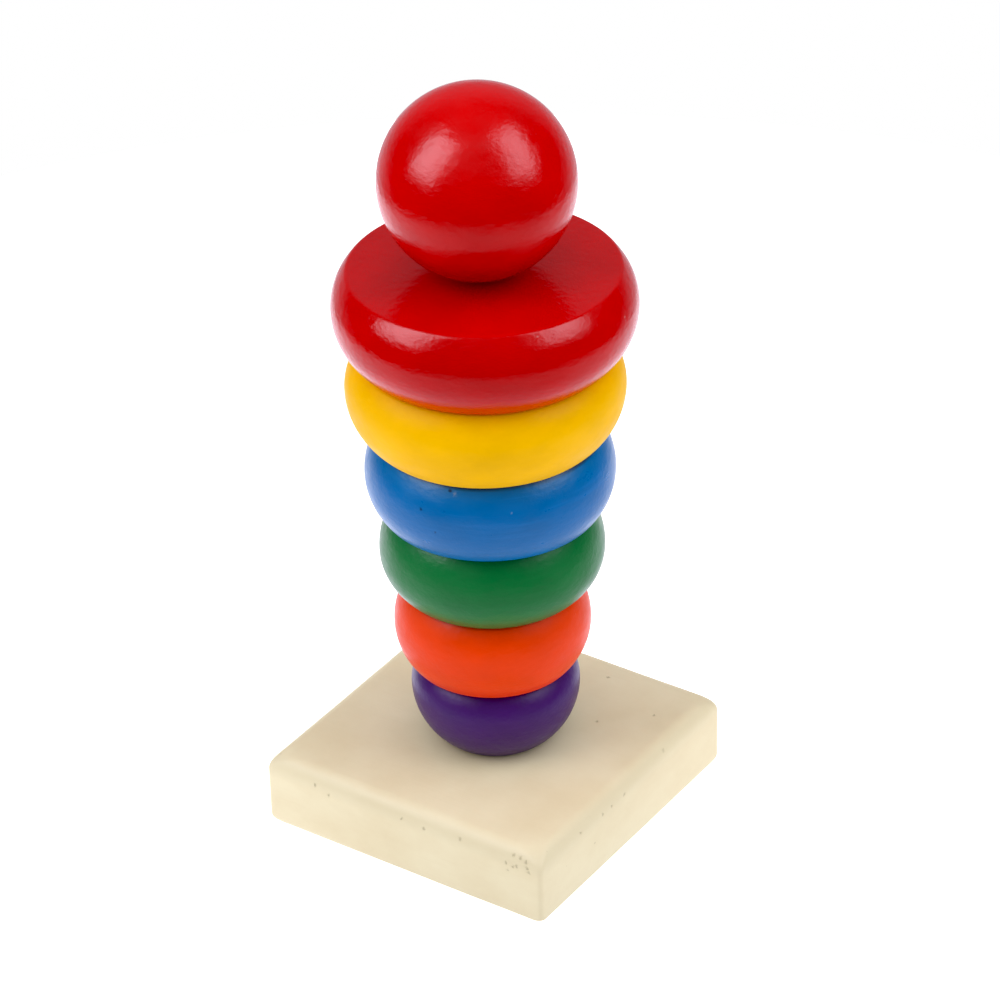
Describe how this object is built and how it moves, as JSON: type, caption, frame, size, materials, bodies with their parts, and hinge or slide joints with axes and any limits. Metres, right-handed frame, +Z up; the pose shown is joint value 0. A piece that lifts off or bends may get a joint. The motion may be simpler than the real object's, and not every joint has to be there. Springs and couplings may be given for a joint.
{
  "type": "ring stacking tower",
  "caption": "Wooden stacking tower: coloured rounded rings threaded on a peg in a square board, smallest at the bottom, with a ball capping the peg.",
  "frame": {"origin": "centre of the board's underside", "axes": "+Z up along the peg, X and Y along the board's sides"},
  "size_m": [0.08, 0.08, 0.1938],
  "materials": {
    "cream_paint": "satin cream paint over wood",
    "bare_wood": "bare sanded dowel",
    "red_lacquer": "gloss red lacquer over wood",
    "yellow_lacquer": "gloss yellow lacquer over wood",
    "blue_lacquer": "gloss blue lacquer over wood",
    "green_lacquer": "gloss green lacquer over wood",
    "orange_lacquer": "gloss orange lacquer over wood",
    "purple_lacquer": "gloss purple lacquer over wood"
  },
  "bodies": {
    "base": {"base_board": "cream_paint", "peg": "bare_wood"},
    "purple_ring": {"purple_ring": "purple_lacquer"},
    "orange_ring": {"orange_ring": "orange_lacquer"},
    "green_ring": {"green_ring": "green_lacquer"},
    "blue_ring": {"blue_ring": "blue_lacquer"},
    "yellow_ring": {"yellow_ring": "yellow_lacquer"},
    "red_ring": {"red_ring": "red_lacquer"},
    "ball": {"ball": "red_lacquer"}
  },
  "joints": [
    {"name": "purple_lift", "type": "slide", "parent": "base", "child": "purple_ring", "axis": [0, 0, 1], "range_m": [0, 0.1605]},
    {"name": "orange_lift", "type": "slide", "parent": "purple_ring", "child": "orange_ring", "axis": [0, 0, 1], "range_m": [0, 0.139]},
    {"name": "green_lift", "type": "slide", "parent": "orange_ring", "child": "green_ring", "axis": [0, 0, 1], "range_m": [0, 0.1175]},
    {"name": "blue_lift", "type": "slide", "parent": "green_ring", "child": "blue_ring", "axis": [0, 0, 1], "range_m": [0, 0.096]},
    {"name": "yellow_lift", "type": "slide", "parent": "blue_ring", "child": "yellow_ring", "axis": [0, 0, 1], "range_m": [0, 0.075]},
    {"name": "red_lift", "type": "slide", "parent": "yellow_ring", "child": "red_ring", "axis": [0, 0, 1], "range_m": [0, 0.054]},
    {"name": "ball_lift", "type": "slide", "parent": "red_ring", "child": "ball", "axis": [0, 0, 1], "range_m": [0, 0.032]}
  ]
}
